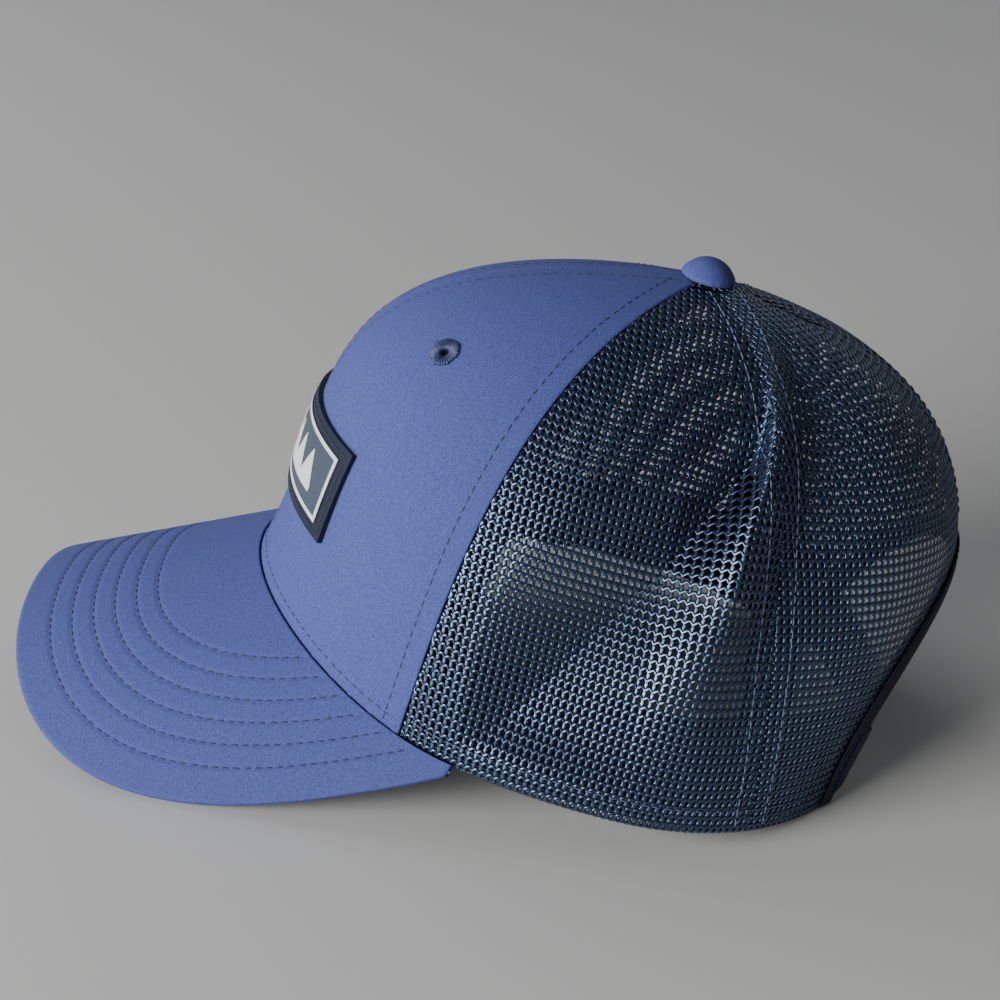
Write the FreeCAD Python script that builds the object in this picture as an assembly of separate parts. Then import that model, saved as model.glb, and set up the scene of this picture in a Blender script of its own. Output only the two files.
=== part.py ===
import FreeCAD, Part
import math
import os
from FreeCAD import Vector

os.makedirs("parts", exist_ok=True)

# Trucker mesh cap, millimetres.  Everything is drawn in the cap's own frame:
# the hem lies in z = 0, the bill points to -Y and the wearer's left is +X.
# At the end each piece is tilted and shifted into the resting pose on a table.

# Hem ring (seen from above, an oval) and apex of the crown
FRONT_REACH = 114.6
BACK_REACH = 74.2
HALF_WIDTH = 88.7
APEX_Y = -7.5
APEX_Z = 126.5

# Crown profile: values that change around the head as a cosine series
WALL_LEAN = (-6.1, -11.1, 5.4, -6.5)
LOWER_FULLNESS = (43.7, 2.5, 5.8)
UPPER_FULLNESS = (90.4, 5.0, 27.1)
TOP_FALL = (0.131, 0.037, -0.042)

# Bill
BILL_CORNER_ANGLE = 68.1
BILL_SLOPE = 25.8
BILL_ARCH_SQUARE = 0.00547
BILL_ARCH_FOURTH = 2.84e-7
BILL_REACH = 122.8
BILL_ROUNDNESS = 2.385
BILL_OUTLINE_END = 99.9
BILL_OUTLINE_USED = 98.5
BILL_INNER_ANGLE = 66.8
BILL_CROWN_GAP = 0.45
COVER_THICK = 0.65
BOARD_THICK = 1.8
BILL_TOP = 1.3
LAYER_GAP = 0.05
BOARD_INSET = 0.6

# Panels and seams, as angles around the crown from the front centre
FRONT_SEAM = 57.75
SIDE_SEAM = 120.2
SEAM_HALF_GAP = 0.1
FABRIC_THICK = 0.9
MESH_THICK = 1.2
BUCKRAM_DEPTH = 1.05
BUCKRAM_THICK = 0.7
HEM_LIFT = 0.3
TOP_HOLE = 5.0

TAPE_WIDTH = 16.0
TAPE_THICK = 0.6
TAPE_MAX_HALF_ANGLE = 26.0
FRONT_TAPE_DEPTH = 1.95
MESH_TAPE_DEPTH = 1.6

BAND_HEIGHT = 32.0
BAND_DEPTH = 2.8
BAND_THICK = 1.5
BAND_END_ANGLE = 144.3

# Rear arch and its folded binding
ARCH_HALF_WIDTH = 50.0
ARCH_HEIGHT = 66.0
BINDING_WIDTH = 8.0
BINDING_THICK = 0.6
BINDING_GAP = 0.25
BINDING_LIP = 0.25

# Snap strap
STRAP_BEND = 137.0
STRAP_MIDDLE_Y = 70.6
STRAP_END_X = 52.0
STRAP_SIDE_GAP = 2.8
STRAP_LEAN = 8.0
STRAP_BOTTOM = 3.0
STRAP_HEIGHT = 20.0
STRAP_THICK = 1.2
STRAP_GAP = 0.3
STRAP_TIP_X = 18.6
SNAP_PITCH = 8.0
SNAP_COUNT = 7
FIRST_PEG_X = 18.0
PEG_RADIUS = 1.6
PEG_TIP_RADIUS = 1.3
PEG_LENGTH = 2.2
HOLE_RADIUS = 2.4

# Button
BUTTON_RADIUS = 7.8
BUTTON_BASE = 126.05
BUTTON_HEIGHT = 6.2
BUTTON_CLOTH = 0.6
SHELL_THICK = 0.6
STEM_RADIUS = 1.5
PRONG_RADIUS = 6.5
PRONG_THICK = 0.6
PRONG_Z = 121.4

# Eyelets
EYELET_ANGLE = 31.1
EYELET_RISE = 0.644
EYELET_RADIUS = 4.5
EYELET_SLEEVE = 2.5
EYELET_BORE = 1.9
EYELET_CUT = 2.8

# Front patch, measured along the cloth
PATCH_RADIUS = 84.0
PATCH_CENTRE = 54.0
PATCH_DROOP = 2.5
PATCH_HALF_WIDTH = 45.5
PATCH_HALF_HEIGHT = 13.5
PATCH_THICK = 1.6
FRAME_HALF_WIDTH = 41.5
FRAME_HALF_HEIGHT = 9.8
FRAME_LINE = 1.2
FRAME_THICK = 0.35
FIELD_THICK = 0.15
EMBLEM_THICK = 0.3

# Resting pose
TILT = 10.566
SHIFT_Y = 42.01
SHIFT_Z = 10.707


def wave(terms, angle):
    """Cosine series around the crown."""
    return sum(term * math.cos(order * angle) for order, term in enumerate(terms))


def bill_arch(x):
    return BILL_ARCH_SQUARE * x ** 2 + BILL_ARCH_FOURTH * x ** 4


def hem_plan(angle):
    reach = FRONT_REACH if math.cos(angle) > 0 else BACK_REACH
    return HALF_WIDTH * math.sin(angle), -reach * math.cos(angle)


CORNER_X, CORNER_Y = hem_plan(math.radians(BILL_CORNER_ANGLE))


def bill_height(x, y):
    climb = math.tan(math.radians(BILL_SLOPE)) * (y - CORNER_Y)
    return climb - bill_arch(x) + bill_arch(CORNER_X)


def hem_point(angle):
    """The hem follows the bill in front and is level behind it."""
    x, y = hem_plan(angle)
    in_front = abs(angle) < math.radians(BILL_CORNER_ANGLE)
    return Vector(x, y, bill_height(x, y) if in_front else 0.0)


def crown_point(angle, rise):
    """Outside of the crown: rise 0 is the hem and 1 is the apex."""
    hem = hem_point(angle)
    apex = Vector(0, APEX_Y, APEX_Z)
    outward = Vector(hem.x - apex.x, hem.y - apex.y, 0).normalize()
    lean = math.radians(wave(WALL_LEAN, angle))
    lower_pull = outward * math.sin(lean) + Vector(0, 0, math.cos(lean))
    upper_pull = outward - Vector(0, 0, wave(TOP_FALL, angle))
    lower = hem + lower_pull * wave(LOWER_FULLNESS, angle)
    upper = apex + upper_pull * wave(UPPER_FULLNESS, angle)
    left = 1 - rise
    return hem * left ** 3 + lower * 3 * left ** 2 * rise + upper * 3 * left * rise ** 2 + apex * rise ** 3


def crown_outward(angle, rise):
    step = 1e-3
    around = crown_point(angle + step, rise) - crown_point(angle - step, rise)
    upward = crown_point(angle, rise + step) - crown_point(angle, rise - step)
    return around.cross(upward).normalize()


def layer_point(angle, rise, depth):
    """A point at a depth inside the crown's outer surface."""
    return crown_point(angle, rise) - crown_outward(angle, rise) * depth


def rise_at_height(angle, height):
    """The rise at which the crown reaches a height above the hem plane."""
    low, high = 0.0, 1.0
    for _ in range(30):
        middle = (low + high) / 2
        if crown_point(angle, middle).z < height:
            low = middle
        else:
            high = middle
    return (low + high) / 2


def rise_along_wall(angle, length):
    """The rise at a length up the wall from the hem."""
    step = 0.002
    rise, walked = 0.0, 0.0
    while walked < length:
        walked += (crown_point(angle, rise + step) - crown_point(angle, rise)).Length
        rise += step
    return rise


def top_rise(angle):
    """Where the panels stop, around the hole under the button."""
    return 1 - TOP_HOLE / (3 * wave(UPPER_FULLNESS, angle))


def between(start, end, share):
    return start + (end - start) * share


def knots_for(count):
    degree = min(3, count - 1)
    inner = count - degree - 1
    return degree, [degree + 1] + [1] * inner + [degree + 1], [float(i) for i in range(inner + 2)]


def smooth_face(rows):
    """A face drawn smoothly through a net of control points."""
    degree_u, multiples_u, knots_u = knots_for(len(rows))
    degree_v, multiples_v, knots_v = knots_for(len(rows[0]))
    surface = Part.BSplineSurface()
    surface.buildFromPolesMultsKnots(rows, multiples_u, multiples_v, knots_u, knots_v,
                                     False, False, degree_u, degree_v)
    return surface.toShape()


def sew(faces):
    shell = Part.Shell(faces)
    shell.sewShape()
    solid = Part.Solid(shell)
    if solid.Volume < 0:
        solid.reverse()
    return solid


def block(point, count_u, count_v):
    """A solid sheet: point(u, v, side) with u and v from 0 to 1, side 0 or 1."""
    skins = []
    for side in (0, 1):
        rows = []
        for i in range(count_u):
            rows.append([point(i / (count_u - 1), j / (count_v - 1), side) for j in range(count_v)])
        skins.append(rows)
    near, far = skins
    faces = [smooth_face(near), smooth_face(far)]
    faces.append(smooth_face([near[0], far[0]]))
    faces.append(smooth_face([near[-1], far[-1]]))
    faces.append(smooth_face([[row[0] for row in near], [row[0] for row in far]]))
    faces.append(smooth_face([[row[-1] for row in near], [row[-1] for row in far]]))
    return sew(faces)


def panel(start, end, depth, thick, top_gap=0.0):
    """One crown panel between two angles, from the hem to the button."""
    first, last = math.radians(start), math.radians(end)

    def point(u, v, side):
        angle = between(first, last, u)
        bottom = rise_along_wall(angle, HEM_LIFT)
        rise = between(bottom, top_rise(angle) - top_gap, v)
        return layer_point(angle, rise, depth + thick * side)

    return block(point, 13, 23)


def seam_tape(centre, depth, bottom_length):
    """A tape over a seam, narrowing to a point below the button."""
    middle = math.radians(centre)
    step = 1e-3

    def point(u, v, side):
        rise = between(rise_along_wall(middle, bottom_length), top_rise(middle), v)
        around = (crown_point(middle + step, rise) - crown_point(middle - step, rise)).Length / (2 * step)
        half_angle = min(TAPE_WIDTH / 2 / around, math.radians(TAPE_MAX_HALF_ANGLE))
        return layer_point(middle + between(-half_angle, half_angle, u), rise, depth + TAPE_THICK * side)

    return block(point, 4, 23)


def mirrored(shape):
    return shape.mirror(Vector(0, 0, 0), Vector(1, 0, 0))


# ---- rear arch ----

def arch_outline(turn, margin):
    """The arch seen from behind; turn 0 is the wearer's left, 180 degrees the right."""
    x = ARCH_HALF_WIDTH * math.cos(turn)
    z = ARCH_HEIGHT * math.sin(turn)
    away = Vector(math.cos(turn) / ARCH_HALF_WIDTH, 0, math.sin(turn) / ARCH_HEIGHT).normalize()
    return x + away.x * margin, z + away.z * margin


def rear_layer_point(x, z, depth):
    """The point of the rear wall that lies straight behind (x, z)."""
    angle = math.pi - math.asin(max(-0.99, min(0.99, x / HALF_WIDTH)))
    for _ in range(12):
        rise = rise_at_height(angle, z)
        angle += (crown_point(angle, rise).x - x) / HALF_WIDTH
    return layer_point(angle, rise, depth)


def arch_prism(margin):
    """Everything that lies behind the arch's outline, grown by a margin."""
    stations = 25
    outline = []
    for i in range(stations):
        x, z = arch_outline(math.pi * i / (stations - 1), margin)
        outline.append(Vector(x, 20, z))
    curve = Part.BSplineCurve()
    curve.interpolate(outline)
    foot = 10.0
    left_foot = Vector(ARCH_HALF_WIDTH + margin, 20, -foot)
    right_foot = Vector(-ARCH_HALF_WIDTH - margin, 20, -foot)
    sides = [curve.toShape(), Part.makeLine(outline[-1], right_foot),
             Part.makeLine(right_foot, left_foot), Part.makeLine(left_foot, outline[0])]
    return Part.Face(Part.Wire(sides)).extrude(Vector(0, 100, 0))


def folded_binding():
    """Cloth tape folded over the edge of the arch: two legs and a fold between them."""
    outer = -BINDING_GAP - BINDING_THICK
    inner = MESH_THICK + BINDING_GAP + BINDING_THICK
    fold = -BINDING_LIP - BINDING_THICK
    section = [(fold, outer), (BINDING_WIDTH, outer), (BINDING_WIDTH, -BINDING_GAP),
               (-BINDING_LIP, -BINDING_GAP), (-BINDING_LIP, MESH_THICK + BINDING_GAP),
               (BINDING_WIDTH, MESH_THICK + BINDING_GAP), (BINDING_WIDTH, inner), (fold, inner)]
    stations = 33
    first = math.radians(1.2)
    rails = []
    for margin, depth in section:
        rail = []
        for i in range(stations):
            turn = between(first, math.pi - first, i / (stations - 1))
            x, z = arch_outline(turn, margin)
            rail.append(rear_layer_point(x, z, depth))
        rails.append(rail)
    faces = [smooth_face([rails[k], rails[(k + 1) % 8]]) for k in range(8)]
    for end in (0, -1):
        corner = [rail[end] for rail in rails]
        for a, b, c, d in ((0, 1, 3, 2), (0, 3, 7, 4), (4, 5, 7, 6)):
            faces.append(smooth_face([[corner[a], corner[b]], [corner[c], corner[d]]]))
    return sew(faces)


# ---- bill ----

def bill_arc_table():
    """Length of the arched cross section from the middle out to each x."""
    table = [(0.0, 0.0)]
    step = 0.5
    length = 0.0
    for i in range(1, 241):
        x = step * i
        length += math.hypot(step, bill_arch(x) - bill_arch(x - step))
        table.append((length, x))
    return table


ARC_TABLE = bill_arc_table()


def look_up(value, column):
    """Linear look-up in the arc table: column 0 gives x from length, 1 the reverse."""
    size = abs(value)
    for before, after in zip(ARC_TABLE, ARC_TABLE[1:]):
        if after[column] >= size:
            share = (size - before[column]) / (after[column] - before[column])
            return math.copysign(between(before[1 - column], after[1 - column], share), value)
    return math.copysign(ARC_TABLE[-1][1 - column], value)


def signed_power(value, power):
    return math.copysign(abs(value) ** power, value)


def bill_outline(turn):
    """Outer edge on the flat bill: distance across and distance forward of the corners."""
    power = 2 / BILL_ROUNDNESS
    last = math.radians(BILL_OUTLINE_END)
    half = look_up(CORNER_X, 1) / signed_power(math.sin(last), power)
    start = -BILL_REACH * signed_power(math.cos(last), power)
    return half * signed_power(math.sin(turn), power), start + BILL_REACH * signed_power(math.cos(turn), power)


def bill_inner_edge(angle):
    """Inner edge on the flat bill, just outside the crown."""
    x, y = hem_plan(angle)
    away = Vector(x / HALF_WIDTH ** 2, y / FRONT_REACH ** 2, 0).normalize()
    x += away.x * BILL_CROWN_GAP
    y += away.y * BILL_CROWN_GAP
    return look_up(x, 1), (CORNER_Y - y) / math.cos(math.radians(BILL_SLOPE))


def bill_point(across, forward, height):
    x = look_up(across, 0)
    y = CORNER_Y - forward * math.cos(math.radians(BILL_SLOPE))
    slope_x = 2 * BILL_ARCH_SQUARE * x + 4 * BILL_ARCH_FOURTH * x ** 3
    up = Vector(slope_x, -math.tan(math.radians(BILL_SLOPE)), 1).normalize()
    return Vector(x, y, bill_height(x, y)) + up * height


def bill_layer(top, thick, inset):
    outer_end = math.radians(BILL_OUTLINE_USED)
    inner_end = math.radians(BILL_INNER_ANGLE)

    def point(u, v, side):
        inner = bill_inner_edge(between(-inner_end, inner_end, u))
        outer = bill_outline(between(-outer_end, outer_end, u))
        length = math.hypot(outer[0] - inner[0], outer[1] - inner[1])
        share = v * (1 - inset / length)
        across = between(inner[0], outer[0], share)
        forward = between(inner[1], outer[1], share)
        return bill_point(across, forward, top - thick * side)

    return block(point, 41, 9)


# ---- strap ----

STRAP_CENTRE_Y = STRAP_MIDDLE_Y - STRAP_BEND


def strap_band(inner_radius, from_x, to_x):
    """A bent strip between two x positions with a rounded free end."""
    def at(radius, x):
        turn = math.asin(x / STRAP_BEND)
        return Vector(radius * math.sin(turn), STRAP_CENTRE_Y + radius * math.cos(turn), STRAP_BOTTOM)

    outer_radius = inner_radius + STRAP_THICK
    middle = (from_x + to_x) / 2
    outer_arc = Part.Arc(at(outer_radius, from_x), at(outer_radius, middle), at(outer_radius, to_x)).toShape()
    inner_arc = Part.Arc(at(inner_radius, to_x), at(inner_radius, middle), at(inner_radius, from_x)).toShape()
    far_end = Part.makeLine(at(outer_radius, to_x), at(inner_radius, to_x))
    near_end = Part.makeLine(at(inner_radius, from_x), at(outer_radius, from_x))
    face = Part.Face(Part.Wire([outer_arc, far_end, inner_arc, near_end]))
    band = face.extrude(Vector(0, 0, STRAP_HEIGHT))
    tip = Part.makeCylinder(STRAP_HEIGHT / 2, 2 * STRAP_HEIGHT, Vector(to_x, 0, 0), Vector(0, 1, 0))
    tip.translate(Vector(-math.copysign(STRAP_HEIGHT / 2, to_x - from_x),
                         STRAP_MIDDLE_Y - STRAP_HEIGHT, STRAP_BOTTOM + STRAP_HEIGHT / 2))
    reach = abs(to_x - from_x) - STRAP_HEIGHT / 2
    root = Part.makeBox(reach + 2, 2 * STRAP_HEIGHT, STRAP_HEIGHT + 2)
    root.translate(Vector(min(from_x, to_x - math.copysign(STRAP_HEIGHT / 2, to_x - from_x)) - 1,
                          STRAP_MIDDLE_Y - 1.5 * STRAP_HEIGHT, STRAP_BOTTOM - 1))
    if to_x > from_x:
        root.translate(Vector(-1, 0, 0))
    return band.common(root.fuse(tip))


def snap_axis(x):
    """Foot and direction of a snap at this x, square to the bent strap."""
    turn = math.asin(x / STRAP_BEND)
    direction = Vector(math.sin(turn), math.cos(turn), 0)
    foot = Vector(0, STRAP_CENTRE_Y, STRAP_BOTTOM + STRAP_HEIGHT / 2)
    return foot, direction


def strap_with_holes():
    band = strap_band(STRAP_BEND, STRAP_END_X, -STRAP_TIP_X)
    for i in range(SNAP_COUNT):
        foot, direction = snap_axis(FIRST_PEG_X - SNAP_PITCH * (SNAP_COUNT - 3) + SNAP_PITCH * i)
        start = foot + direction * (STRAP_BEND - 1)
        band = band.cut(Part.makeCylinder(HOLE_RADIUS, STRAP_THICK + 2, start, direction))
    return band


def strap_with_pegs():
    inner_radius = STRAP_BEND - STRAP_GAP - STRAP_THICK
    band = strap_band(inner_radius, -STRAP_END_X, STRAP_TIP_X + SNAP_PITCH / 2)
    for i in range(SNAP_COUNT):
        foot, direction = snap_axis(FIRST_PEG_X - SNAP_PITCH * i)
        start = foot + direction * (inner_radius + STRAP_THICK / 2)
        peg = Part.makeCone(PEG_RADIUS, PEG_TIP_RADIUS, PEG_LENGTH + STRAP_THICK / 2, start, direction)
        band = band.fuse(peg)
    return band.removeSplitter()


def fitted_strap(shape):
    """Lean the strap outwards like the rear wall and trim its sewn end along the binding."""
    shape = shape.copy()
    shape.rotate(Vector(0, STRAP_MIDDLE_Y, STRAP_BOTTOM), Vector(1, 0, 0), -STRAP_LEAN)
    return shape.common(arch_prism(-BINDING_LIP - BINDING_THICK - STRAP_SIDE_GAP))


# ---- button, eyelets, patch ----

def dome(radius, height, base):
    """A cap cut from a ball, standing on a level rim."""
    ball = (radius ** 2 + height ** 2) / (2 * height)
    sphere = Part.makeSphere(ball, Vector(0, 0, base + height - ball))
    room = Part.makeBox(4 * ball, 4 * ball, 2 * ball, Vector(-2 * ball, -2 * ball, base))
    return sphere.common(room)


def button_pieces():
    inner_radius = BUTTON_RADIUS - BUTTON_CLOTH
    inner_height = BUTTON_HEIGHT - BUTTON_CLOTH
    cover = dome(BUTTON_RADIUS, BUTTON_HEIGHT, BUTTON_BASE)
    cover = cover.cut(dome(inner_radius, inner_height, BUTTON_BASE))
    shell = dome(inner_radius - LAYER_GAP, inner_height - LAYER_GAP, BUTTON_BASE)
    shell = shell.cut(dome(inner_radius - SHELL_THICK, inner_height - SHELL_THICK, BUTTON_BASE))
    stem_top = BUTTON_BASE + inner_height - SHELL_THICK - 0.3
    stem = Part.makeCylinder(STEM_RADIUS, stem_top - PRONG_Z, Vector(0, 0, PRONG_Z))
    plate = Part.makeCylinder(PRONG_RADIUS, PRONG_THICK, Vector(0, 0, PRONG_Z))
    rivet = stem.fuse(plate).removeSplitter()
    for piece in (cover, shell, rivet):
        piece.translate(Vector(0, APEX_Y, 0))
    return cover, shell, rivet


def eyelet_frame():
    angle = math.radians(EYELET_ANGLE)
    return crown_point(angle, EYELET_RISE), crown_outward(angle, EYELET_RISE)


def eyelet_cutter():
    centre, outward = eyelet_frame()
    return Part.makeCylinder(EYELET_CUT, 12, centre - outward * 6, outward)


def eyelet():
    """Thread collar worked round the hole, outside and inside."""
    centre, outward = eyelet_frame()
    layers = ((EYELET_RADIUS, 0.25, 0.75), (EYELET_SLEEVE, -2.2, 0.5), (EYELET_RADIUS - 0.4, -2.6, -2.1))
    collar = None
    for radius, low, high in layers:
        disc = Part.makeCylinder(radius, high - low, centre + outward * low, outward)
        collar = disc if collar is None else collar.fuse(disc)
    bore = Part.makeCylinder(EYELET_BORE, 12, centre - outward * 6, outward)
    return collar.cut(bore).removeSplitter()


def patch_point(across, up, depth):
    angle = across / PATCH_RADIUS
    height = PATCH_CENTRE + up - PATCH_DROOP * (across / PATCH_HALF_WIDTH) ** 2
    return layer_point(angle, rise_at_height(angle, height), depth)


def patch_layer(half_width, half_height, base, thick):
    def point(u, v, side):
        across = between(-half_width, half_width, u)
        up = between(-half_height, half_height, v)
        return patch_point(across, up, -base - thick * side)

    return block(point, 15, 6)


def emblem():
    """A plain row of peaks standing on a line: a generic moulded motif."""
    half, low, high, line = 33.0, -5.2, 5.4, 1.7
    teeth = 7
    pitch = 2 * half / teeth
    outline = [(-half, low), (half, low)]
    for i in range(teeth):
        right = half - pitch * i
        outline.append((right, low + line))
        outline.append((right - pitch / 2, high))
    outline.append((-half, low + line))
    corners = [patch_point(across, up, -3.0) for across, up in outline]
    flat = [Vector(corner.x, -200, corner.z) for corner in corners]
    face = Part.Face(Part.makePolygon(flat + flat[:1]))
    base = 0.15 + PATCH_THICK + 2 * LAYER_GAP + FIELD_THICK
    sheet = patch_layer(half + 2, FRAME_HALF_HEIGHT - FRAME_LINE - 0.5, base, EMBLEM_THICK)
    return sheet.common(face.extrude(Vector(0, 160, 0)))


# ---- build ----

pieces = {}

front = panel(SEAM_HALF_GAP, FRONT_SEAM - SEAM_HALF_GAP, 0.0, FABRIC_THICK)
side = panel(FRONT_SEAM + SEAM_HALF_GAP, SIDE_SEAM - SEAM_HALF_GAP, 0.0, MESH_THICK)
rear = panel(SIDE_SEAM + SEAM_HALF_GAP, 180 - SEAM_HALF_GAP, 0.0, MESH_THICK)
buckram = panel(1.0, FRONT_SEAM - 3.0, BUCKRAM_DEPTH, BUCKRAM_THICK, 0.02)
pieces["front_panel_left"] = front.cut(eyelet_cutter())
pieces["side_mesh_left"] = side
pieces["rear_mesh_left"] = rear.cut(arch_prism(0.0))
pieces["buckram_left"] = buckram.cut(eyelet_cutter())
pieces["eyelet_left"] = eyelet()
for name in list(pieces):
    pieces[name.replace("left", "right")] = mirrored(pieces[name])

tape_foot = 1.5
pieces["seam_tape_front"] = seam_tape(0.0, FRONT_TAPE_DEPTH, tape_foot)
pieces["seam_tape_front_left"] = seam_tape(FRONT_SEAM, FRONT_TAPE_DEPTH, tape_foot)
pieces["seam_tape_side_left"] = seam_tape(SIDE_SEAM, MESH_TAPE_DEPTH, tape_foot)
pieces["seam_tape_front_right"] = mirrored(pieces["seam_tape_front_left"])
pieces["seam_tape_side_right"] = mirrored(pieces["seam_tape_side_left"])
rear_tape_foot = 79.0
pieces["seam_tape_rear"] = seam_tape(180.0, MESH_TAPE_DEPTH, rear_tape_foot)


def band_point(u, v, side):
    limit = math.radians(BAND_END_ANGLE)
    angle = between(-limit, limit, u)
    rise = rise_along_wall(angle, between(HEM_LIFT + 0.4, BAND_HEIGHT, v))
    return layer_point(angle, rise, BAND_DEPTH + BAND_THICK * side)


pieces["sweatband"] = block(band_point, 65, 6)


def label_point(u, v, side):
    angle = math.radians(between(100.0, 127.0, u))
    rise = rise_along_wall(angle, between(8.0, 27.0, v))
    return layer_point(angle, rise, BAND_DEPTH + BAND_THICK + 0.15 + 0.5 * side)


pieces["care_label"] = block(label_point, 7, 4)
pieces["arch_binding"] = folded_binding()

under_top = BILL_TOP - COVER_THICK - BOARD_THICK - 2 * LAYER_GAP
pieces["bill_top_cover"] = bill_layer(BILL_TOP, COVER_THICK, 0.0)
pieces["bill_board"] = bill_layer(BILL_TOP - COVER_THICK - LAYER_GAP, BOARD_THICK, BOARD_INSET)
pieces["bill_under_cover"] = bill_layer(under_top, COVER_THICK, 0.0)

pieces["button_cover"], pieces["button_shell"], pieces["button_rivet"] = button_pieces()

field_base = 0.15 + PATCH_THICK + LAYER_GAP
frame_outer = patch_layer(FRAME_HALF_WIDTH, FRAME_HALF_HEIGHT, field_base, FRAME_THICK)
frame_inner = patch_layer(FRAME_HALF_WIDTH - FRAME_LINE, FRAME_HALF_HEIGHT - FRAME_LINE,
                          field_base - 1, FRAME_THICK + 2)
pieces["patch_base"] = patch_layer(PATCH_HALF_WIDTH, PATCH_HALF_HEIGHT, 0.15, PATCH_THICK)
pieces["patch_frame"] = frame_outer.cut(frame_inner)
pieces["patch_panel"] = patch_layer(FRAME_HALF_WIDTH - FRAME_LINE - 0.1, FRAME_HALF_HEIGHT - FRAME_LINE - 0.1,
                                    field_base, FIELD_THICK)
pieces["patch_emblem"] = emblem()

pieces["strap_holes"] = fitted_strap(strap_with_holes())
pieces["strap_pegs"] = fitted_strap(strap_with_pegs())

resting = FreeCAD.Placement(Vector(0, SHIFT_Y, SHIFT_Z), FreeCAD.Rotation(Vector(1, 0, 0), -TILT))
for name in sorted(pieces):
    shape = pieces[name].copy()
    shape.Placement = resting.multiply(shape.Placement)
    shape.exportStep(os.path.join("parts", name + ".step"))
    box = shape.BoundBox
    print(name, "valid", shape.isValid(), "solids", len(shape.Solids), "volume %.1f" % shape.Volume,
          "x %.2f %.2f y %.2f %.2f z %.2f %.2f" % (box.XMin, box.XMax, box.YMin, box.YMax, box.ZMin, box.ZMax))
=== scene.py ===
import math

import bpy
import numpy as np
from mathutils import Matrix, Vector


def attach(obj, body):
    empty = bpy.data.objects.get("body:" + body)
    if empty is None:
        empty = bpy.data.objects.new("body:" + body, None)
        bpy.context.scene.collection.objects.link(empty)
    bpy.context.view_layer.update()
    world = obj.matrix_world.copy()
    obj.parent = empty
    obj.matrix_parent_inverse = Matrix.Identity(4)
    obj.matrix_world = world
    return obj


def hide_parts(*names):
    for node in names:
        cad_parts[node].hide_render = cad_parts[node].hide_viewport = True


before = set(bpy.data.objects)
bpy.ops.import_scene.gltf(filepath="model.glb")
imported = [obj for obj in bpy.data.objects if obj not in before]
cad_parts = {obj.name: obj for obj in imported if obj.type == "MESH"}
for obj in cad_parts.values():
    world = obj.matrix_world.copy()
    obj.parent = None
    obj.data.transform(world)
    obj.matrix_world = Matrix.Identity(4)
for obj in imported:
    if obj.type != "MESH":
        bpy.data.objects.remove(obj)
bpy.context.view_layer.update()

# The cap is drawn in millimetres in its own frame, as the CAD is: the hem lies in z = 0,
# the bill points to -Y and the wearer's left is +X.  rest() puts it on the table, in metres.
MM = 0.001
TILT = math.radians(10.566)
SHIFT_Y = 42.01
SHIFT_Z = 10.707

FRONT_REACH = 114.6
BACK_REACH = 74.2
HALF_WIDTH = 88.7
APEX_Y = -7.5
APEX_Z = 126.5
WALL_LEAN = (-6.1, -11.1, 5.4, -6.5)
LOWER_FULLNESS = (43.7, 2.5, 5.8)
UPPER_FULLNESS = (90.4, 5.0, 27.1)
TOP_FALL = (0.131, 0.037, -0.042)
TOP_HOLE = 5.0
HEM_LIFT = 0.3

FRONT_SEAM = 57.75
SIDE_SEAM = 120.2
SEAM_HALF_GAP = 0.1

BILL_CORNER_ANGLE = math.radians(68.1)
BILL_SLOPE = math.radians(25.8)
BILL_ARCH_SQUARE = 0.00547
BILL_ARCH_FOURTH = 2.84e-7
BILL_REACH = 122.8
BILL_ROUNDNESS = 2.385
BILL_OUTLINE_END = math.radians(99.9)
BILL_OUTLINE_USED = math.radians(98.5)
BILL_INNER_ANGLE = math.radians(66.8)
BILL_CROWN_GAP = -0.4
BILL_TOP = 1.3
BILL_MIDDLE = -0.3
BILL_BOTTOM = -1.9
COVER_THICK = 0.65
BILL_EDGE_REACH = 0.5
BILL_ROWS = 6
BILL_FIRST_ROW = 9.8
BILL_ROW_PITCH = 6.35

FABRIC_THICK = 0.9
BUCKRAM_DEPTH = 1.05
BUCKRAM_THICK = 0.7
TAPE_WIDTH = 16.0
TAPE_THICK = 0.6
TAPE_MAX_HALF_ANGLE = math.radians(26.0)
FRONT_TAPE_DEPTH = 1.95
MESH_TAPE_DEPTH = 1.6
BAND_HEIGHT = 32.0
BAND_DEPTH = 2.8
BAND_THICK = 1.5
BAND_END_ANGLE = math.radians(144.3)

ARCH_HALF_WIDTH = 50.0
ARCH_HEIGHT = 66.0
BINDING_WIDTH = 4.5
BINDING_THICK = 0.6
BINDING_GAP = 0.25
MESH_THICK = 1.2

STRAP_BEND = 137.0
STRAP_MIDDLE_Y = 70.6
STRAP_LEAN = math.radians(8.0)
STRAP_BOTTOM = 3.0
STRAP_THICK = 1.2
STRAP_GAP = 0.3
STRAP_END_GAP = 3.65

BUTTON_BASE = 126.05
BUTTON_HEIGHT = 6.2

EYELET_ANGLE = math.radians(31.1)
EYELET_RISE = 0.644

PATCH_RADIUS = 84.0
PATCH_CENTRE = 54.0
PATCH_DROOP = 2.5
PATCH_HALF_WIDTH = 45.5
PATCH_HALF_HEIGHT = 13.5
PATCH_TOP = 1.75

# Knitted mesh: one hole every so many millimetres around and up
MESH_PITCH = 2.12
MESH_RISE = 2.5
YARN_RADIUS = 0.15
YARN_SIDES = 6
ROW_START = 0.3
FOLD_RADIUS = 0.32
FOLD_DEPTH = 0.7
HEM_FOLD = 6.5
SEAM_FOLD = 5.5

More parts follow.
